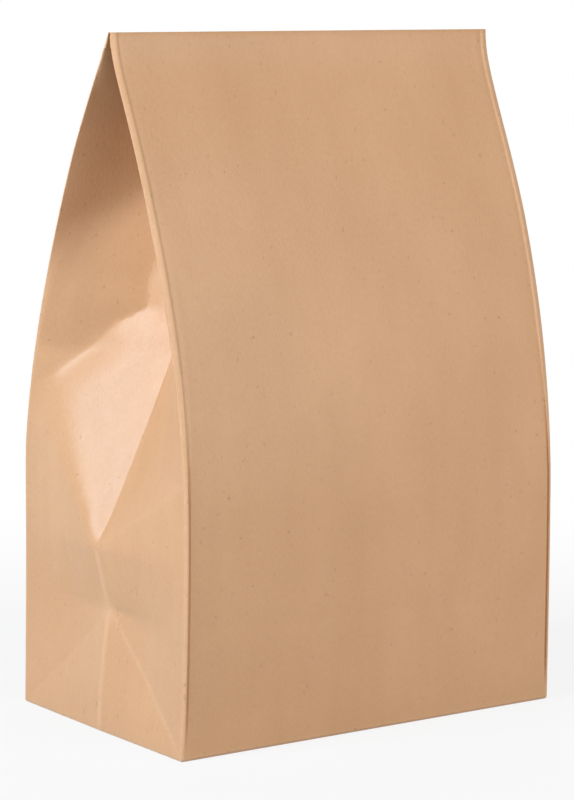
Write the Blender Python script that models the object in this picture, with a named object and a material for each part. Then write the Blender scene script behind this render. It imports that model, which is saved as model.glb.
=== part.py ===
# A plain block-bottom paper bag, standing with its mouth pinched flat.
# Metres, +Z up. The origin is under the middle of the bag's outline, the front panel
# faces -Y, and the gussets are on the -X and +X sides. The mouth is shut and the inside
# can't be seen, so the bag is one solid of its outer form.
import math

import bmesh
import bpy
from mathutils import Vector

# Panels
WIDTH = 0.180                 # front panel, between its folded edges
DEPTH = 0.120                 # base from front to back, which is one gusset laid flat
HEIGHT = 0.275                # floor to mouth as it stands
FOLD_LIP = 0.0008             # blunt edge where a panel folds into a gusset
BASE_ROUND = 0.0012           # rounded edge round the base

# Mouth
MOUTH_FRONT = 0.0124          # the pinched mouth's front, ahead of the middle of the base
MOUTH_THICKNESS = 0.0022      # layers pressed together at the top edge
PINCH_HEIGHT = 0.0075         # pressed strip under the top edge
PINCH_FOOT_THICKNESS = 0.0062 # where the layers part
PINCH_ROOF = 0.0015           # rise of the strip's underside inside a gusset

# Front and back panels: upright to a shoulder, then leaning in on a growing curve
FRONT_SHOULDER = 0.090
FRONT_BELLY = 0.0022          # how far the front stands out of the base at its shoulder
FRONT_CURVE = 1.9
BACK_SHOULDER = 0.105
BACK_BELLY = -0.0027
BACK_CURVE = 1.65

# Gussets: a shallow dent where the base creases meet, a knee above it, then the valley
DENT_HEIGHT = 0.0495
DENT_DEPTH = 0.003
KNEE_HEIGHT = 0.075
KNEE_BULGE = 0.0020
FRONT_KNEE_END = 0.106        # where the knee's front crease runs out on the front edge
BACK_KNEE_END = 0.140
VALLEY_CURVE = 1.6

# Two creases across the back half of a gusset, pressed deeper than the smooth valley, so
# that the facets between them are flat. OUTER is the share of the half that is at the back
# edge, 1, and INNER the share where the crease runs out towards the valley.
KINK_OUTER = 0.133            # height at the back edge
KINK_INNER = 0.165            # height at its inner end
KINK_END = 0.335              # share of the half, from the valley, where it ends
KINK_DEPTH = 0.0027
KINK_REACH = 0.020            # how far from the crease the paper is still pressed in
RECESS_OUTER = 0.203
RECESS_INNER = 0.238
RECESS_END = 0.30
RECESS_DEPTH = 0.0038
RECESS_REACH = 0.026

ROW_STEP = 0.005              # spacing of the rows that follow the curves
COLUMNS = 8                   # strips across each half of a gusset
CREASE_ANGLE = 12             # degrees; other folds sharper than this are shaded as edges
CREASE_BAND = 0.0011          # half the width of the narrow faces beside a sloping crease
SNAP = 1e-6

KRAFT_COLOUR = (0.61, 0.37, 0.21, 1.0)

half_width = WIDTH / 2
half_depth = DEPTH / 2
lip_line = half_depth - FOLD_LIP
pinch_foot = HEIGHT - PINCH_HEIGHT
base_middle = (FRONT_BELLY - max(BACK_BELLY, 0.0)) / 2  # centres the outline on the origin


def clear_scene():
    for obj in list(bpy.data.objects):
        bpy.data.objects.remove(obj, do_unlink=True)


def kraft_material():
    material = bpy.data.materials.new("kraft_paper")
    material.use_nodes = True
    shader = material.node_tree.nodes["Principled BSDF"]
    shader.inputs["Base Color"].default_value = KRAFT_COLOUR
    shader.inputs["Roughness"].default_value = 0.8
    shader.inputs["Metallic"].default_value = 0.0
    material.diffuse_color = KRAFT_COLOUR
    return material


def share(value, low, high):
    """How far value has gone from low to high, kept within 0 and 1."""
    return min(max((value - low) / (high - low), 0.0), 1.0)


def panel_distance(z, shoulder, belly, curve, top):
    """Distance of a panel from the middle of the base at height z, on its own side."""
    upright = half_depth + belly * math.sin(math.pi / 2 * share(z, 0, shoulder))
    lean = share(z, shoulder, pinch_foot) ** curve
    return upright + (top - upright) * lean


def front_y(z):
    """Front panel at height z, from the middle of the base."""
    return -panel_distance(z, FRONT_SHOULDER, FRONT_BELLY, FRONT_CURVE, MOUTH_FRONT)


def back_y(z):
    """Back panel at height z, from the middle of the base."""
    foot = PINCH_FOOT_THICKNESS - MOUTH_FRONT
    mouth = MOUTH_THICKNESS - MOUTH_FRONT
    top = foot + (mouth - foot) * share(z, pinch_foot, HEIGHT)
    return panel_distance(z, BACK_SHOULDER, BACK_BELLY, BACK_CURVE, top)


def knee_reach(across, z):
    """Share of a gusset half, from its middle, that has folded inwards at height z."""
    end = FRONT_KNEE_END if across < 0 else BACK_KNEE_END
    return share(z, KNEE_HEIGHT, end)


def pressed_in(across, z, outer, inner, end, depth, reach):
    """Extra depth near a crease that runs across the back half of a gusset."""
    along = share(1 - across, 0, 1 - end)
    height = outer + (inner - outer) * along
    past_end = max(end - across, 0.0) * half_depth
    away = math.hypot(z - height, past_end)
    edge = 1 - share(across, 0, 1) ** 8
    return depth * max(0.0, 1 - away / reach) ** 2 * edge


def gusset_depth(across, z):
    """How far a gusset lies inside the folded edges. across runs -1 to 1, front to back."""
    from_middle = min(abs(across), 1.0)
    if z <= DENT_HEIGHT:
        crease = 1 - share(z, BASE_ROUND, DENT_HEIGHT)
        flat = DENT_DEPTH * (1 - crease)
        return flat if from_middle <= crease else flat * (1 - from_middle) / (1 - crease)
    if z <= KNEE_HEIGHT:
        rise = share(z, DENT_HEIGHT, KNEE_HEIGHT)
        middle = DENT_DEPTH + (-KNEE_BULGE - DENT_DEPTH) * rise
        return middle * (1 - from_middle)
    if z > pinch_foot + SNAP:
        return 0.0
    valley = half_depth * (1 - (1 - share(z, KNEE_HEIGHT, pinch_foot)) ** VALLEY_CURVE)
    reach = knee_reach(across, z)
    bulge = -KNEE_BULGE * (1 - reach) * (1 - from_middle)
    if reach <= 0:
        return bulge
    depth = valley * max(0.0, 1 - from_middle / reach) + bulge
    if across > 0:
        depth += pressed_in(across, z, KINK_OUTER, KINK_INNER, KINK_END, KINK_DEPTH, KINK_REACH)
        depth += pressed_in(across, z, RECESS_OUTER, RECESS_INNER, RECESS_END, RECESS_DEPTH,
                            RECESS_REACH)
    return depth


def fold(flat):
    """Where a point of the upright carton lies once the bag is folded in at the top."""
    z = flat.z
    front, back = front_y(z), back_y(z)
    across = min(max(flat.y / lip_line, -1.0), 1.0)
    edge = max(abs(flat.y) - lip_line, 0.0)
    middle = (front + back) / 2
    half_gap = (back - front) / 2 - FOLD_LIP
    y = middle + across * half_gap + math.copysign(edge, flat.y)
    x = flat.x - math.copysign(1.0, flat.x) * gusset_depth(across, z)
    return Vector((x, y + base_middle, z))


def row_heights():
    """Heights of the cuts round the bag: the fold points, and even rows between them."""
    fixed = sorted((BASE_ROUND, DENT_HEIGHT, KNEE_HEIGHT, FRONT_KNEE_END, BACK_KNEE_END,
                    KINK_OUTER, KINK_INNER, RECESS_OUTER, RECESS_INNER, pinch_foot,
                    pinch_foot + PINCH_ROOF))
    rows = []
    for low, high in zip(fixed, fixed[1:]):
        steps = max(1, round((high - low) / ROW_STEP))
        rows += [low + (high - low) * step / steps for step in range(steps)]
    return rows[1:] + [fixed[-1]]


def cut(bm, point, normal, faces=None):
    """Cuts a crease line along a plane, across the whole bag or only some faces."""
    if faces is None:
        geometry = bm.verts[:] + bm.edges[:] + bm.faces[:]
    else:
        verts = {vert for face in faces for vert in face.verts}
        edges = {edge for face in faces for edge in face.edges}
        geometry = list(verts) + list(edges) + list(faces)
    cuts = bmesh.ops.bisect_plane(bm, geom=geometry, dist=SNAP, plane_co=point,
                                  plane_no=normal)
    return [item for item in cuts["geom_cut"] if isinstance(item, bmesh.types.BMEdge)]


def gusset_faces(bm, low, high, side=0):
    """Gusset faces between two heights: side -1 is the front half, 1 the back, 0 both."""
    found = []
    for face in bm.faces:
        centre = face.calc_center_median()
        on_gusset = abs(abs(centre.x) - half_width) < SNAP
        if on_gusset and low < centre.z < high and centre.y * side >= 0:
            found.append(face)
    return found


def cut_slope(bm, start, end, side):
    """Cuts a sloping crease on both gussets, from (y, z) to (y, z), and a line beside it
    on each side, so that the shading turns close to the crease."""
    rise = end[1] - start[1]
    run = end[0] - start[0]
    low, high = sorted((start[1], end[1]))
    faces = gusset_faces(bm, low, high, side)
    point = Vector((0, start[0], start[1]))
    normal = Vector((0, rise, -run)).normalized()
    for edge in cut(bm, point, normal, faces):
        edge.smooth = False
    for offset in (-CREASE_BAND, CREASE_BAND):
        faces = gusset_faces(bm, low, high, side)
        cut(bm, point + normal * offset, normal, faces)


def paper_bag():
    """The bag starts as an upright carton. Its creases are cut, then it is folded in."""
    bm = bmesh.new()
    bmesh.ops.create_cube(bm, size=1.0)
    bmesh.ops.scale(bm, vec=Vector((WIDTH, DEPTH, HEIGHT)), verts=bm.verts)
    bmesh.ops.translate(bm, vec=Vector((0, 0, HEIGHT / 2)), verts=bm.verts)

    base_edges = [edge for edge in bm.edges if all(vert.co.z < SNAP for vert in edge.verts)]
    bmesh.ops.bevel(bm, geom=base_edges, affect="EDGES", offset=BASE_ROUND,
                    offset_type="OFFSET", segments=2, profile=0.5)

    for column in range(-COLUMNS, COLUMNS + 1):
        cut(bm, Vector((0, lip_line * column / COLUMNS, 0)), Vector((0, 1, 0)))
    for z in row_heights():
        cut(bm, Vector((0, 0, z)), Vector((0, 0, 1)))
    for side, knee_end in ((-1, FRONT_KNEE_END), (1, BACK_KNEE_END)):
        cut_slope(bm, (side * lip_line, BASE_ROUND), (0, DENT_HEIGHT), side)
        cut_slope(bm, (0, KNEE_HEIGHT), (side * lip_line, knee_end), side)
    cut_slope(bm, (KINK_END * lip_line, KINK_INNER), (lip_line, KINK_OUTER), 1)
    cut_slope(bm, (RECESS_END * lip_line, RECESS_INNER), (lip_line, RECESS_OUTER), 1)

    for vert in bm.verts:
        vert.co = fold(vert.co)
    bmesh.ops.triangulate(bm, faces=bm.faces[:])
    bmesh.ops.recalc_face_normals(bm, faces=bm.faces[:])
    for edge in bm.edges:
        if edge.calc_face_angle(0.0) > math.radians(CREASE_ANGLE):
            edge.smooth = False
    for face in bm.faces:
        face.smooth = True

    mesh = bpy.data.meshes.new("paper_bag")
    bm.to_mesh(mesh)
    bm.free()
    mesh.materials.append(kraft_material())
    return bpy.data.objects.new("paper_bag", mesh)


def main():
    clear_scene()
    collection = bpy.data.collections.new("paper_bag")
    bpy.context.scene.collection.children.link(collection)
    collection.objects.link(paper_bag())


main()
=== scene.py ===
# A plain block-bottom paper bag of brown kraft paper, standing with its mouth pinched flat.
import math

import bmesh
import bpy
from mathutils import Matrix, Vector, noise


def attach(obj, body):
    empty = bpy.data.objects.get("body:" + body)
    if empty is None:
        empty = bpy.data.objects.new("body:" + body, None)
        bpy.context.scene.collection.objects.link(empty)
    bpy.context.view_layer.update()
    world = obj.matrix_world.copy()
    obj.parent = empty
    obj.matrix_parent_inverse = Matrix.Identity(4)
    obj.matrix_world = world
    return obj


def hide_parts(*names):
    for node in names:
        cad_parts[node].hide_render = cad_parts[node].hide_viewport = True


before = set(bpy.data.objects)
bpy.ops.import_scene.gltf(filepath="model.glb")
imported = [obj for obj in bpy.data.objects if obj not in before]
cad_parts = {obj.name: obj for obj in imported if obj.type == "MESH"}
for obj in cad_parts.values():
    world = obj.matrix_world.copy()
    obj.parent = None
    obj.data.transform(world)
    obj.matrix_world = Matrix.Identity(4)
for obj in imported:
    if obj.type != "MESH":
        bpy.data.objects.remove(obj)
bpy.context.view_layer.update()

print("stage: frame loaded")

# The photograph's viewpoint.
cameraView = {
    "lens": 132.1,                         # mm, on a 36 mm sensor
    "place": (-0.6761, -0.9735, 0.2905),   # m
    "tilt": 82.075,                        # degrees up from looking straight down
    "turn": -34.76,                        # degrees about the upright
}


def makeCamera(view):
    data = bpy.data.cameras.new("camera")
    data.lens = view["lens"]
    data.sensor_width = 36
    data.clip_start = 0.05
    data.clip_end = 50
    camera = bpy.data.objects.new("camera", data)
    camera.location = view["place"]
    camera.rotation_euler = (math.radians(view["tilt"]), 0, math.radians(view["turn"]))
    bpy.context.scene.collection.objects.link(camera)
    bpy.context.scene.camera = camera


makeCamera(cameraView)
print("stage: camera")

# The bag's folded form. Metres, from the middle of the base before it is centred.
bag = {
    "width": 0.180,
    "depth": 0.120,
    "height": 0.275,
    "foldLip": 0.0008,        # blunt edge where a panel folds into a gusset, laid flat
    "baseRound": 0.0012,
    "mouthFront": 0.0124,     # the pinched mouth's front, ahead of the middle of the base
    "mouthThickness": 0.0022,
    "pinchHeight": 0.0075,
    "pinchFoot": 0.0062,      # thickness where the layers part
    "pinchRoof": 0.0015,      # height of one more cut above that
    "frontSoftness": 0.026,   # how gently the panels turn upright under the mouth
    "backSoftness": 0.006,
    "frontShoulder": 0.090,
    "frontBelly": 0.0022,
    "frontCurve": 1.9,
    "backShoulder": 0.105,
    "backBelly": -0.0027,
    "backCurve": 1.65,
    "frontTwist": 0.0014,     # the front's left edge stands further out, its right edge less
    "frontTwistSpan": (0, 0.2),             # heights between which it does
    "backTwist": 0.0018,      # the back stands less far out at its left edge
    "backTwistSpan": (0.10, 0.23),
    "mouthTwist": 0.0028,     # the mouth's right end stands further forward
    "mouthTwistSpan": (0.235, 0.285),
    "waviness": 0.00035,      # slow unevenness of the panels
    "waveScale": (14, 9),     # its scale across and up
    "calmEdge": 0.03,         # width of the flatter border round a panel
    "levelCrease": 0.00022,   # depth of the faint crease low on each panel
    "levelCreaseWidth": 0.0022,
    "levelCreaseFront": (0.048, 0.033),     # its height in the middle, and its fall to the right
    "levelCreaseBack": 0.050,
    "mouthGap": 0.0012,       # depth of the gaps between the layers at the mouth's top edge
    "gapPlaces": (-0.5, 0.0, 0.5),          # across the mouth's thickness, -1 to 1
    "gapWidth": 0.13,
    "seamPlace": 0.024,       # glued lap on the back panel, from the middle
    "seamStep": 0.00025,
    "basePlace": 0.014,       # edges of the base's outer flap, on each side of the middle
    "baseStep": 0.0003,
    "baseStepEdge": 0.006,    # it fades out this far from the base's edges
    "stepWidth": 0.0003,
}

# The gussets: the base creases and their dent, the knee above them, and the valley.
gusset = {
    "dentHeight": 0.0495,
    "dentDepth": 0.0062,
    "kneeHeight": 0.075,
    "kneeBulge": 0.0020,
    "frontKneeEnd": 0.106,
    "backKneeEnd": 0.150,
    "kneeSoftness": 0.13,     # of the back half's crease above the knee
    "kneeFrontShare": 0.23,   # the front half's, as a share of that
    "valleyCurve": 1.6,
    "midRidge": 0.0032,       # upright crease from the base to the knee, standing out
    "midRidgeSpan": (-0.004, 0.085),
    "midRidgeReach": 0.45,    # share of each half that it lifts
    "edgeRound": 0.0042,      # rounding of a gusset into the back edge, near the top
    "edgeRoundSpan": (0.12, 0.2),
    "edgeFrontShare": 0.35,   # the same at the front edge, as a share of that
    "slotDepth": 0.006,       # dark gap between the layers at the mouth's ends
    "slotEdges": (0.25, 0.8), # it narrows between these shares of a half
    "creaseTop": 0.245,       # the creases below fade out from here to the mouth
    "rightCreases": 0.7,      # their strength on the right gusset
}

# Creases across one half of a gusset, between flatter facets. Points are (across, height,
# strength), with across counted from the valley, 0, to the folded edge, 1.
kink = {
    "half": 1,                  # 1 is the back half, -1 the front half
    "points": ((1.0, 0.133, 1.0), (0.78, 0.1400, 1.0), (0.52, 0.1595, 1.0),
               (0.325, 0.1665, 1.0), (0.375, 0.1780, 1.0), (0.33, 0.205, 0.0)),
    "corner": (0.325, 0.1665),  # across and height where the crease is sharpest
    "turn": 0.80,               # change of slope across it; below 0 it stands out
    "reach": 0.022,             # how far the paper beside it is bent, m
    "crisp": 0.0003,            # radius of the bend at the corner, m
    "soften": 0.06,             # how fast the radius grows away from it
    "fade": 0.22,               # share of the half, beside the valley, where it fades
}
recess = {
    "half": 1,
    "points": ((1.0, 0.203, 1.0), (0.74, 0.209, 1.0), (0.55, 0.2222, 1.0), (0.25, 0.242, 0.8)),
    "corner": (0.50, 0.225),
    "turn": 1.50,
    "reach": 0.046,
    "crisp": 0.0006,
    "soften": 0.16,
    "fade": 0.30,
}
backFold = {
    "half": 1,
    "points": ((0.85, 0.152, 0.0), (0.64, 0.1337, 1.0), (0.43, 0.1046, 1.0), (0.0, 0.076, 0.8)),
    "corner": (0.0, 0.076),
    "turn": -0.26,
    "reach": 0.028,
    "crisp": 0.0030,
    "soften": 0.20,
    "fade": 0.12,
}
frontFold = {
    "half": -1,
    "points": ((0.0, 0.0495, 1.0), (1.0, 0.040, 0.8)),
    "corner": (0.0, 0.0495),
    "turn": 0.20,
    "reach": 0.016,
    "crisp": 0.0006,
    "soften": 0.03,
    "fade": 0.12,
}
creases = (kink, recess, backFold, frontFold)

# The bead along each upright fold: a rounded lip with a pressed line beside it.
bead = {
    "lowRound": 0.42,         # how far the edge falls back, in bead widths
    "highRound": 0.20,
    "lowWidth": 0.0011,
    "highWidth": 0.0023,
    "lowHeight": 0.00032,
    "highHeight": 0.00012,
    "lowGroove": 0.00070,
    "highGroove": 0.00012,
    "steps": (0.25, 0.5, 0.75, 1.0, 1.15, 1.3, 1.6, 2.1, 2.6),  # in bead widths from the edge
    "grooveAt": 1.3,          # in bead widths from the edge
    "grooveEnd": 2.1,
    "growEnd": 7,             # the texture is stretched as far as this where the bead widens
    "growSpan": (0.09, 0.16), # heights between which low turns to high
    "footRise": 0.02,         # the bead starts from nothing over this height
    "backStrength": 0.6,
    "roundShare": 0.16,       # at most this share of the gap between the panels
    "lipShare": 0.24,
    "lipExtra": 0.0006,
}

# Spacing of the cuts that the sheet is folded along. Metres.
mesh = {
    "row": 0.0022,
    "gussetColumn": 0.0024,
    "panelColumn": 0.0040,
    "nearLip": (0.0004, 0.0008, 0.0013, 0.0018, 0.0024, 0.0032, 0.0045),
    "nearBead": (0.0048, 0.0066, 0.0091),
    "snap": 1e-6,
    "sharpAngle": 26,         # degrees
}

halfWidth = bag["width"] / 2
halfDepth = bag["depth"] / 2
lipLine = halfDepth - bag["foldLip"]
pinchFoot = bag["height"] - bag["pinchHeight"]
baseMiddle = (bag["frontBelly"] - max(bag["backBelly"], 0.0)) / 2


def share(value, low, high):
    return min(max((value - low) / (high - low), 0.0), 1.0)


def ease(value, low, high):
    part = share(value, low, high)
    return part * part * (3 - 2 * part)


def softAbove(value, softness):  # value where positive, eased to 0 below
    if value > 20 * softness:
        return value
    return softness * math.log1p(math.exp(max(value / softness, -40)))


def panelDistance(z, shoulder, belly, curve, softness, top):
    upright = halfDepth + belly * math.sin(math.pi / 2 * share(z, 0, shoulder))
    lean = 1 - softAbove(1 - (z - shoulder) / (pinchFoot - shoulder), softness)
    return upright + (top - upright) * max(lean, 0.0) ** curve


def frontY(z):
    return -panelDistance(z, bag["frontShoulder"], bag["frontBelly"], bag["frontCurve"],
                          bag["frontSoftness"], bag["mouthFront"])


def backY(z):
    foot = bag["pinchFoot"] - bag["mouthFront"]
    mouth = bag["mouthThickness"] - bag["mouthFront"]
    top = foot + (mouth - foot) * share(z, pinchFoot, bag["height"])
    return panelDistance(z, bag["backShoulder"], bag["backBelly"], bag["backCurve"],
                         bag["backSoftness"], top)


# How far such a crease lies inside the smooth folds: the facets on its two sides are flat.
def pressedIn(across, z, halfGap, crease):
    near, strength = 1.0, 0.0
    points = crease["points"]
    for low, high in zip(points, points[1:]):
        run, rise = (high[0] - low[0]) * halfGap, high[1] - low[1]
        along = ((across - low[0]) * halfGap * run + (z - low[1]) * rise) / (run ** 2 + rise ** 2)
        along = min(max(along, 0.0), 1.0)
        away = math.hypot((across - low[0]) * halfGap - along * run, z - low[1] - along * rise)
        if away < near:
            near, strength = away, low[2] + (high[2] - low[2]) * along
    corner = crease["corner"]
    softness = crease["crisp"] + crease["soften"] * math.hypot((across - corner[0]) * halfGap,
                                                               z - corner[1])
    softness *= 1 - 0.6 * share(across, 0.8, 1.0)
    near = math.hypot(near, softness)
    rest = max(0.0, 1 - near / crease["reach"])
    edge = (1 - share(across, 0.0, 1.0) ** 8) * ease(across, 0.0, crease["fade"])
    return crease["turn"] * crease["reach"] / 4 * rest * rest * strength * edge


# How far the smooth folds lie inside the folded edges. across runs -1 to 1, front to back.
def mainFolds(across, z, halfGap):
    fromMiddle = min(abs(across), 1.0)
    dent, knee = gusset["dentDepth"], -gusset["kneeBulge"]
    ridge = gusset["midRidge"] * math.sin(math.pi * share(z, *gusset["midRidgeSpan"]))
    if z <= gusset["dentHeight"]:
        crease = 1 - share(z, bag["baseRound"], gusset["dentHeight"])
        flat = dent * (1 - crease)
        flat -= ridge * max(0.0, 1 - fromMiddle / max(crease, gusset["midRidgeReach"]))
        return flat * min(1.0, (1 - fromMiddle) / max(1 - crease, 1e-6))
    if z <= gusset["kneeHeight"]:
        rise = share(z, gusset["dentHeight"], gusset["kneeHeight"])
        deep = (dent + (knee - dent) * rise) * (1 - fromMiddle)
        return deep - ridge * max(0.0, 1 - fromMiddle / gusset["midRidgeReach"])
    valley = halfDepth * (1 - (1 - share(z, gusset["kneeHeight"], pinchFoot))
                          ** gusset["valleyCurve"])
    reach = share(z, gusset["kneeHeight"],
                  gusset["frontKneeEnd"] if across < 0 else gusset["backKneeEnd"])
    ridge *= max(0.0, 1 - fromMiddle / gusset["midRidgeReach"])
    if reach <= 0:
        return knee * (1 - fromMiddle) - ridge
    rounding = gusset["edgeRound"] * ease(z, *gusset["edgeRoundSpan"])
    if across <= 0:
        rounding *= gusset["edgeFrontShare"]
    if reach >= 1 and rounding > 0:
        fromEdge = (1 - fromMiddle) * halfGap
        if fromEdge < rounding:
            fromEdge = fromEdge * fromEdge / (2 * rounding)
        else:
            fromEdge -= rounding / 2
        fromMiddle = 1 - fromEdge / (halfGap - rounding / 2)
    softness = gusset["kneeSoftness"] * (1 - ease(reach, 0.6, 1))
    if across <= 0:
        softness *= gusset["kneeFrontShare"]
    folded = 1 - fromMiddle / reach
    if softness > 0:
        soft = softAbove(folded, softness) - softness * math.exp(-1 / softness)
        folded = min(soft, 1.0) if fromMiddle > 0 else 1.0
    folded = max(folded, 0.0)
    return valley * folded + knee * (1 - reach) * (1 - fromMiddle) - ridge


def gussetDepth(across, z, halfGap, left):
    if z > pinchFoot + mesh["snap"]:
        return gusset["slotDepth"] * (1 - ease(abs(across), *gusset["slotEdges"]))
    strength = 1 - ease(z, gusset["creaseTop"], pinchFoot)
    if not left:
        strength *= gusset["rightCreases"]
    deep = mainFolds(across, z, halfGap)
    for crease in creases:
        if across * crease["half"] > 0:
            deep += pressedIn(min(abs(across), 1.0), z, halfGap, crease) * strength
    return deep


# Outward profile of the bead at a distance from the panel's edge, in bead widths.
def beadProfile(steps, fallBack, height, groove):
    if steps <= 1:
        return height - (height + fallBack) * (1 - steps) ** 2
    if steps <= bead["grooveAt"]:
        return height - (height + groove) * ease(steps, 1, bead["grooveAt"])
    return -groove * (1 - ease(steps, bead["grooveAt"], bead["grooveEnd"]))


def beadAt(z, strength):
    high = ease(z, *bead["growSpan"])
    width = bead["lowWidth"] + (bead["highWidth"] - bead["lowWidth"]) * high
    height = bead["lowHeight"] + (bead["highHeight"] - bead["lowHeight"]) * high
    groove = bead["lowGroove"] + (bead["highGroove"] - bead["lowGroove"]) * high
    foot = ease(z, 0.0, bead["footRise"])
    rounding = bead["lowRound"] + (bead["highRound"] - bead["lowRound"]) * high
    return width, height * foot * strength, groove * foot * strength, rounding * width


# Small outward unevenness of the front and back panels.
def panelRelief(x, z, front):
    calm = share(halfWidth - abs(x), 0, bag["calmEdge"]) * share(z, 0, bag["calmEdge"])
    across, up = bag["waveScale"]
    slow = noise.noise(Vector((x * across, 3.1 if front else 8.7, z * up)))
    relief = bag["waviness"] * slow * calm
    if not front:
        relief += bag["seamStep"] * share(x, bag["seamPlace"], bag["seamPlace"] + bag["stepWidth"])
    middle, fall = bag["levelCreaseFront"]
    line = middle - fall * x if front else bag["levelCreaseBack"]
    nearLine = math.exp(-((z - line) / bag["levelCreaseWidth"]) ** 2)
    return relief - bag["levelCrease"] * nearLine * share(halfWidth - abs(x), 0, 0.01)


# Where a point of the upright carton lies once the bag is folded in at the top.
def fold(flat):
    x, z = flat.x, flat.z
    side = math.copysign(1, x)
    sideways = x / halfWidth
    turned = bag["mouthTwist"] * max(sideways, 0.0) * ease(z, *bag["mouthTwistSpan"])
    frontTurn = bag["frontTwist"] * math.sin(math.pi * share(z, *bag["frontTwistSpan"]))
    backTurn = bag["backTwist"] * math.sin(math.pi * share(z, *bag["backTwistSpan"]))
    front = frontY(z) + frontTurn * sideways - turned
    back = backY(z) - backTurn * (1 - sideways) / 2 - turned
    across = min(max(flat.y / lipLine, -1.0), 1.0)
    onLip = share(abs(flat.y), lipLine, halfDepth)
    width, _, _, rounding = beadAt(z, 1.0)
    fallBack = min(rounding, bead["roundShare"] * (back - front))
    lip = min(rounding + bead["lipExtra"], bead["lipShare"] * (back - front))
    middle = (front + back) / 2
    halfGap = (back - front) / 2 - lip
    y = middle + across * halfGap + math.copysign((lip - fallBack) * onLip, flat.y)
    depth = gussetDepth(across, z, halfGap, side < 0)
    if abs(abs(x) - halfWidth) < mesh["snap"]:
        x -= side * depth
    elif abs(flat.y) < halfDepth - mesh["snap"] and z > mesh["snap"]:
        x -= side * depth * abs(x) / halfWidth
    if abs(abs(flat.y) - halfDepth) < mesh["snap"] and mesh["snap"] < z:
        isFront = flat.y < 0
        height, groove = beadAt(z, 1.0 if isFront else bead["backStrength"])[1:3]
        steps = (halfWidth - abs(flat.x)) / bead["lowWidth"]
        outward = panelRelief(flat.x, z, isFront)
        last = bead["steps"][-1]
        if steps <= last:
            outward += beadProfile(steps, fallBack, height, groove)
        grown = (width / bead["lowWidth"] - 1) * min(steps, last)
        x -= side * grown * (1 - share(steps, last, bead["growEnd"])) * bead["lowWidth"]
        y = front - outward if isFront else back + outward
    if flat.z > bag["height"] - mesh["snap"]:
        gap = max(math.exp(-((across - place) / bag["gapWidth"]) ** 2)
                  for place in bag["gapPlaces"])
        z -= bag["mouthGap"] * gap * (1 - onLip)
    elif flat.z < mesh["snap"]:
        inner = share(abs(flat.y), bag["basePlace"], bag["basePlace"] + bag["stepWidth"])
        rim = min(halfWidth - abs(flat.x), halfDepth - abs(flat.y))
        z += bag["baseStep"] * inner * ease(rim, bag["baseRound"], bag["baseStepEdge"])
    return Vector((x, y + baseMiddle, z))


def rowHeights():
    fixed = sorted((bag["baseRound"], gusset["dentHeight"], gusset["kneeHeight"],
                    gusset["frontKneeEnd"], gusset["backKneeEnd"],
                    *(point[1] for point in kink["points"]), pinchFoot,
                    pinchFoot + bag["pinchRoof"], bag["height"]))
    rows = []
    for low, high in zip(fixed, fixed[1:]):
        steps = max(1, round((high - low) / mesh["row"]))
        rows += [low + (high - low) * step / steps for step in range(steps)]
    return rows[1:]


def acrossColumns():
    near = mesh["nearLip"]
    ends = [lipLine, lipLine + bag["foldLip"] / 2] + [lipLine - step for step in near]
    inner = lipLine - near[-1]
    count = round(inner / mesh["gussetColumn"])
    ends += [inner * step / count for step in range(1, count)]
    kinks = [point[0] * lipLine for point in kink["points"][1:]]
    steps = [bag["basePlace"], bag["basePlace"] + bag["stepWidth"]]
    return sorted({0.0, *ends, *(-end for end in ends), *kinks, *steps, *(-y for y in steps)})


def panelColumns():
    ends = [halfWidth - step * bead["lowWidth"] for step in bead["steps"]]
    ends += [halfWidth - step for step in mesh["nearBead"]]
    inner = ends[-1]
    count = round(inner / mesh["panelColumn"])
    ends += [inner * step / count for step in range(1, count)]
    seam = (bag["seamPlace"], bag["seamPlace"] + bag["stepWidth"])
    return sorted({0.0, *ends, *(-end for end in ends), *seam})


def cut(bm, point, normal, faces=None):
    if faces is None:
        geometry = bm.verts[:] + bm.edges[:] + bm.faces[:]
    else:
        geometry = list({vert for face in faces for vert in face.verts})
        geometry += list({edge for face in faces for edge in face.edges}) + faces
    bmesh.ops.bisect_plane(bm, geom=geometry, dist=mesh["snap"], plane_co=point,
                           plane_no=normal)


# Cuts a sloping crease on both gussets, from (across, z) to (across, z).
def cutSlope(bm, start, end):
    run, rise = (end[0] - start[0]) * lipLine, end[1] - start[1]
    low, high = sorted((start[1], end[1]))
    near, far = sorted((start[0] * lipLine, end[0] * lipLine))
    faces = []
    for face in bm.faces:
        centre = face.calc_center_median()
        onGusset = abs(abs(centre.x) - halfWidth) < mesh["snap"]
        if onGusset and low < centre.z < high and near < centre.y < far:
            faces.append(face)
    cut(bm, Vector((0, start[0] * lipLine, start[1])), Vector((0, rise, -run)), faces)


# How pale the sheet is painted along its folds, partly rubbed wear and partly painted highlight
# where creases and the dent catch the light: (strength, width in metres).
rubbedAndLit = {
    "middle": (0.8, 0.0006),
    "dent": (0.8, 0.004),
    "baseCrease": (0.5, 0.0006),
    "gussetEdge": (0.5, 0.0012),
    "panelEdge": (0.5, 0.0011),
    "foot": (0.5, 0.0014),
}


def rubbedAndLitNear(name, away):
    strength, width = rubbedAndLit[name]
    return strength * math.exp(-(away / width) ** 2)


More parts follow.
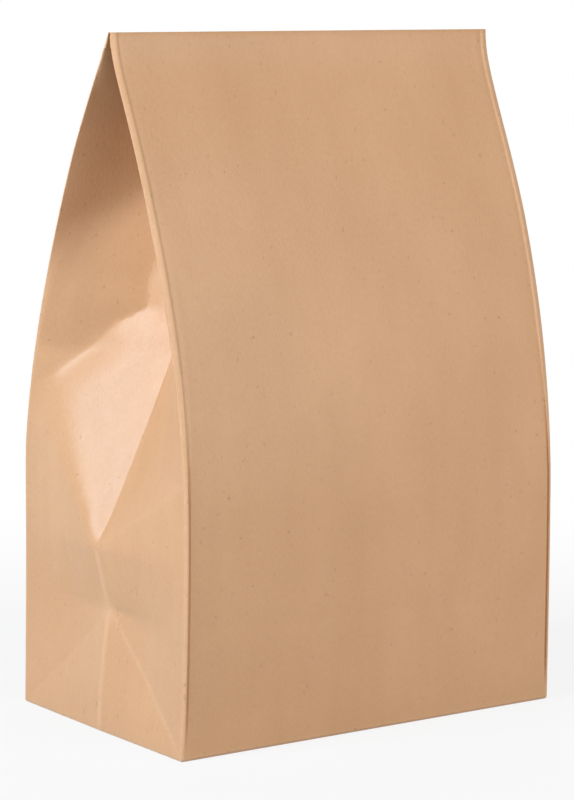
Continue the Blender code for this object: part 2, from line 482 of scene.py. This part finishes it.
# Pale along the folds: partly rubbed wear, partly a painted highlight on the creases and round the
# dent.
def foldWearAndHighlight(flat):
    z = flat.z
    wearAndHighlight = [rubbedAndLitNear("foot", z)]
    if abs(abs(flat.x) - halfWidth) < mesh["snap"]:
        if z < gusset["kneeHeight"]:
            wearAndHighlight.append(rubbedAndLitNear("middle", flat.y))
        wearAndHighlight.append(rubbedAndLitNear("dent", math.hypot(flat.y, z - gusset["dentHeight"])))
        crease = lipLine * (1 - share(z, bag["baseRound"], gusset["dentHeight"]))
        if z < gusset["dentHeight"] and flat.y < 0:
            wearAndHighlight.append(rubbedAndLitNear("baseCrease", -flat.y - crease))
        wearAndHighlight.append(rubbedAndLitNear("gussetEdge", halfDepth - abs(flat.y)))
    else:
        wearAndHighlight.append(rubbedAndLitNear("panelEdge", halfWidth - abs(flat.x)))
    return max(wearAndHighlight)


# No grain or gloss where the mouth is pressed together: the sheet is squeezed there.
def grainHeight(flat):
    onGusset = abs(abs(flat.x) - halfWidth) < mesh["snap"]
    atMouth = flat.z > (pinchFoot if onGusset else bag["height"]) - mesh["snap"]
    return 0.0 if atMouth else 1.0


def kraftBag():
    bm = bmesh.new()
    bmesh.ops.create_cube(bm, size=1.0)
    bmesh.ops.scale(bm, vec=Vector((bag["width"], bag["depth"], bag["height"])), verts=bm.verts)
    bmesh.ops.translate(bm, vec=Vector((0, 0, bag["height"] / 2)), verts=bm.verts)
    baseEdges = [edge for edge in bm.edges if all(vert.co.z < mesh["snap"] for vert in edge.verts)]
    bmesh.ops.bevel(bm, geom=baseEdges, affect="EDGES", offset=bag["baseRound"],
                    offset_type="OFFSET", segments=3, profile=0.5, material=-1)
    for z in rowHeights():
        cut(bm, Vector((0, 0, z)), Vector((0, 0, 1)))
    for y in acrossColumns():
        cut(bm, Vector((0, y, 0)), Vector((0, 1, 0)))
    for x in panelColumns():
        cut(bm, Vector((x, 0, 0)), Vector((1, 0, 0)))
    foot, dent, knee = bag["baseRound"], gusset["dentHeight"], gusset["kneeHeight"]
    cutSlope(bm, (-1.0, foot), (0.0, dent))
    cutSlope(bm, (0.0, dent), (1.0, foot))
    cutSlope(bm, (-1.0, gusset["frontKneeEnd"]), (0.0, knee))
    for low, high in zip(kink["points"], kink["points"][1:]):
        cutSlope(bm, high, low)
    print("stage: sheet creased,", len(bm.verts), "points")

    # Pale fold tint per point: rubbed wear plus painted crease highlight.
    wearAndHighlight = bm.verts.layers.float.new("foldWearAndHighlight")
    sheet = bm.verts.layers.float_vector.new("sheetPlace")
    grain = bm.verts.layers.float.new("grainHeight")
    for vert in bm.verts:
        vert[wearAndHighlight] = foldWearAndHighlight(vert.co)
        vert[sheet] = vert.co
        vert[grain] = grainHeight(vert.co)
    for edge in bm.edges:
        ends = [vert.co for vert in edge.verts]
        onGusset = all(abs(abs(end.x) - halfWidth) < mesh["snap"] for end in ends)
        edge.smooth = not (onGusset and all(abs(end.y) < mesh["snap"] for end in ends))
    for vert in bm.verts:
        vert.co = fold(vert.co)
    bmesh.ops.recalc_face_normals(bm, faces=bm.faces[:])
    for face in bm.faces:
        face.smooth = True
    for edge in bm.edges:
        if edge.is_manifold and edge.calc_face_angle(0) > math.radians(mesh["sharpAngle"]):
            edge.smooth = False

    data = bpy.data.meshes.new("kraftBag")
    bm.to_mesh(data)
    bm.free()
    piece = bpy.data.objects.new("kraftBag", data)
    bpy.context.scene.collection.objects.link(piece)
    return piece


# Brown kraft paper: cloudy pulp, long fibres, flecks, and pale folds that are partly rubbed wear
# and partly painted highlight.
kraft = {
    "colour": (0.56, 0.325, 0.17, 1),
    "deep": (0.50, 0.28, 0.14, 1),
    "pale": (0.72, 0.47, 0.29, 1),
    "fleck": (0.30, 0.16, 0.08, 1),
    "roughness": 0.36,
    "roughSpread": 0.02,       # roughness varies this much with the mottle
    "gloss": 0.24,             # specular level
    "grain": 0.00005,          # height of the fibres, m
    "grainStrength": 0.5,
    # Textures: scale, stretch, detail, and the values that become 0 and 1.
    "clouds": (22, (1, 1, 0.6), 3, 0.3, 0.7),
    "mottle": (330, (1, 1, 0.75), 4, 0.3, 0.7),
    "fibres": (1400, (1, 1, 0.4), 2, 0.3, 0.7),
    "flecks": (620, (1, 1, 0.6), 1, 0.70, 0.80),
    "streaks": (120, (1, 1, 0.05), 2, 0.3, 0.7),
    # How strongly each tints the paper.
    "mottleTint": 0.30,
    "fibreTint": 0.16,
    "streakTint": 0.05,
    "fleckTint": 0.45,
    "wearAndHighlightTint": 0.45,
    "wearAndHighlightEven": 0.45,          # pale fold tint, rubbed wear plus painted highlight, that shows where the mottle has none
    "mottleHeight": 0.6,       # in the relief, with 1 for the fibres
    "noiseRoughness": 0.6,
}


def addNode(tree, kind, values=None, **settings):
    node = tree.nodes.new(kind)
    for name, value in settings.items():
        setattr(node, name, value)
    for name, value in (values or {}).items():
        node.inputs[name].default_value = value
    return node


def paperTexture(tree, place, scale, stretch, detail, low, high):
    mapping = addNode(tree, "ShaderNodeMapping", {"Scale": stretch})
    tree.links.new(place, mapping.inputs["Vector"])
    field = addNode(tree, "ShaderNodeTexNoise", {"Scale": scale, "Detail": detail,
                                                 "Roughness": kraft["noiseRoughness"]})
    tree.links.new(mapping.outputs["Vector"], field.inputs["Vector"])
    spread = addNode(tree, "ShaderNodeMapRange", {"From Min": low, "From Max": high})
    tree.links.new(field.outputs["Fac"], spread.inputs["Value"])
    return spread.outputs["Result"]


def mixColour(tree, factor, first, second):
    mix = addNode(tree, "ShaderNodeMix", data_type="RGBA")
    for socket, value in ((mix.inputs[0], factor), (mix.inputs[6], first), (mix.inputs[7], second)):
        if hasattr(value, "is_linked"):
            tree.links.new(value, socket)
        else:
            socket.default_value = value
    return mix.outputs[2]


def calculate(tree, operation, first, second=0.0):
    node = addNode(tree, "ShaderNodeMath", operation=operation)
    for socket, value in zip(node.inputs, (first, second)):
        if hasattr(value, "is_linked"):
            tree.links.new(value, socket)
        else:
            socket.default_value = value
    return node.outputs[0]


def kraftPaper():
    material = bpy.data.materials.new("kraftPaper")
    material.use_nodes = True
    tree = material.node_tree
    shader = tree.nodes["Principled BSDF"]
    place = addNode(tree, "ShaderNodeAttribute", attribute_name="sheetPlace").outputs["Vector"]
    wearAndHighlight = addNode(tree, "ShaderNodeAttribute", attribute_name="foldWearAndHighlight").outputs["Fac"]
    grain = addNode(tree, "ShaderNodeAttribute", attribute_name="grainHeight").outputs["Fac"]

    clouds, mottle, fibres, flecks, streaks = (
        paperTexture(tree, place, *kraft[name])
        for name in ("clouds", "mottle", "fibres", "flecks", "streaks"))
    # Pale folds: rubbed wear mixed with painted highlight along the creases.
    wornAndLit = calculate(tree, "MULTIPLY", wearAndHighlight, calculate(tree, "ADD", mottle, kraft["wearAndHighlightEven"]))

    toned = mixColour(tree, clouds, kraft["deep"], kraft["colour"])
    for mask, tint, colour in ((mottle, "mottleTint", "deep"), (fibres, "fibreTint", "pale"),
                               (streaks, "streakTint", "pale"), (flecks, "fleckTint", "fleck"),
                               (wornAndLit, "wearAndHighlightTint", "pale")):
        amount = calculate(tree, "MULTIPLY", mask, kraft[tint])
        toned = mixColour(tree, amount, toned, kraft[colour])
    tree.links.new(toned, shader.inputs["Base Color"])
    gloss = calculate(tree, "MULTIPLY", grain, kraft["gloss"])
    tree.links.new(gloss, shader.inputs["Specular IOR Level"])

    low, high = (kraft["roughness"] + sign * kraft["roughSpread"] for sign in (-1, 1))
    rough = addNode(tree, "ShaderNodeMapRange", {"To Min": low, "To Max": high})
    tree.links.new(mottle, rough.inputs["Value"])
    tree.links.new(rough.outputs["Result"], shader.inputs["Roughness"])

    height = calculate(tree, "MULTIPLY", mottle, kraft["mottleHeight"])
    height = calculate(tree, "ADD", height, fibres)
    bump = addNode(tree, "ShaderNodeBump", {"Distance": kraft["grain"]})
    strength = calculate(tree, "MULTIPLY", grain, kraft["grainStrength"])
    tree.links.new(strength, bump.inputs["Strength"])
    tree.links.new(height, bump.inputs["Height"])
    tree.links.new(bump.outputs["Normal"], shader.inputs["Normal"])
    return material


piece = kraftBag()
piece.data.materials.append(kraftPaper())
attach(piece, "root")
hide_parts("paper_bag")
print("stage: bag")

# Studio: white surroundings, soft lamps from the left, the front and behind, a pale floor.
studio = {
    "ambient": 0.02,
    "sidePlace": (-1.411, -0.074, 0.881),
    "sidePower": 30.5,
    "sideColour": (0.94, 1.0, 1.09),
    "sideSize": 0.7,
    "fillPlace": (0.316, -1.489, 0.624),
    "fillPower": 20.5,
    "fillColour": (1.0, 0.99, 0.99),
    "fillSize": 1.3,
    "backPlace": (1.05, 1.15, 0.75),
    "backPower": 11,
    "backColour": (1.0, 1.0, 1.0),
    "backSize": 1.0,
    "floorColour": (0.60, 0.60, 0.60, 1),
    "floorRoughness": 0.9,
    "floorGlow": 0.86,         # share of plain white in the floor near the bag, as it is seen
    "glowSpan": (0.14, 0.5),   # distances between which that grows to all of it
    "floorSize": 6.0,
    "aim": (0, 0, 0.13),       # the lamps point here
}


def showsWhite(tree):
    path = addNode(tree, "ShaderNodeLightPath")
    seen = calculate(tree, "MAXIMUM", path.outputs["Is Camera Ray"], path.outputs["Is Glossy Ray"])
    return calculate(tree, "MAXIMUM", seen, path.outputs["Is Transmission Ray"])


def makeWorld():
    world = bpy.data.worlds.new("studioWorld")
    world.use_nodes = True
    bpy.context.scene.world = world
    tree = world.node_tree
    tree.nodes.clear()
    plain = addNode(tree, "ShaderNodeBackground", {"Color": (1, 1, 1, 1),
                                                   "Strength": studio["ambient"]})
    white = addNode(tree, "ShaderNodeBackground", {"Color": (1, 1, 1, 1), "Strength": 1.0})
    mix = addNode(tree, "ShaderNodeMixShader")
    tree.links.new(showsWhite(tree), mix.inputs[0])
    tree.links.new(plain.outputs[0], mix.inputs[1])
    tree.links.new(white.outputs[0], mix.inputs[2])
    output = addNode(tree, "ShaderNodeOutputWorld")
    tree.links.new(mix.outputs[0], output.inputs["Surface"])


def areaLamp(name, place, target, size, power, colour):
    data = bpy.data.lights.new(name, "AREA")
    data.shape = "SQUARE"
    data.size = size
    data.energy = power
    data.color = colour
    lamp = bpy.data.objects.new(name, data)
    lamp.location = place
    away = Vector(place) - Vector(target)
    lamp.rotation_euler = away.to_track_quat("Z", "Y").to_euler()
    bpy.context.scene.collection.objects.link(lamp)


def makeFloor():
    bm = bmesh.new()
    bmesh.ops.create_grid(bm, x_segments=1, y_segments=1, size=studio["floorSize"])
    data = bpy.data.meshes.new("floor")
    bm.to_mesh(data)
    bm.free()
    floor = bpy.data.objects.new("floor", data)
    bpy.context.scene.collection.objects.link(floor)
    material = bpy.data.materials.new("paleFloor")
    material.use_nodes = True
    tree = material.node_tree
    shader = tree.nodes["Principled BSDF"]
    shader.inputs["Base Color"].default_value = studio["floorColour"]
    shader.inputs["Roughness"].default_value = studio["floorRoughness"]
    shader.inputs["Specular IOR Level"].default_value = 0.0
    place = addNode(tree, "ShaderNodeTexCoord").outputs["Object"]
    length = addNode(tree, "ShaderNodeVectorMath", operation="LENGTH")
    tree.links.new(place, length.inputs[0])
    low, high = studio["glowSpan"]
    away = addNode(tree, "ShaderNodeMapRange", {"From Min": low, "From Max": high},
                   interpolation_type="SMOOTHSTEP")
    tree.links.new(length.outputs["Value"], away.inputs["Value"])
    glow = addNode(tree, "ShaderNodeEmission", {"Color": (1, 1, 1, 1), "Strength": 1.0})
    near = addNode(tree, "ShaderNodeMapRange", {"To Min": studio["floorGlow"], "To Max": 1.0})
    tree.links.new(away.outputs["Result"], near.inputs["Value"])
    mix = addNode(tree, "ShaderNodeMixShader")
    seen = calculate(tree, "MULTIPLY", showsWhite(tree), near.outputs["Result"])
    tree.links.new(seen, mix.inputs[0])
    tree.links.new(shader.outputs[0], mix.inputs[1])
    tree.links.new(glow.outputs[0], mix.inputs[2])
    tree.links.new(mix.outputs[0], tree.nodes["Material Output"].inputs["Surface"])
    floor.data.materials.append(material)


bpy.context.scene.view_settings.view_transform = "Standard"
makeWorld()
for name in ("side", "fill", "back"):
    areaLamp(name + "Lamp", studio[name + "Place"], studio["aim"], studio[name + "Size"],
             studio[name + "Power"], studio[name + "Colour"])
makeFloor()
print("stage: studio")
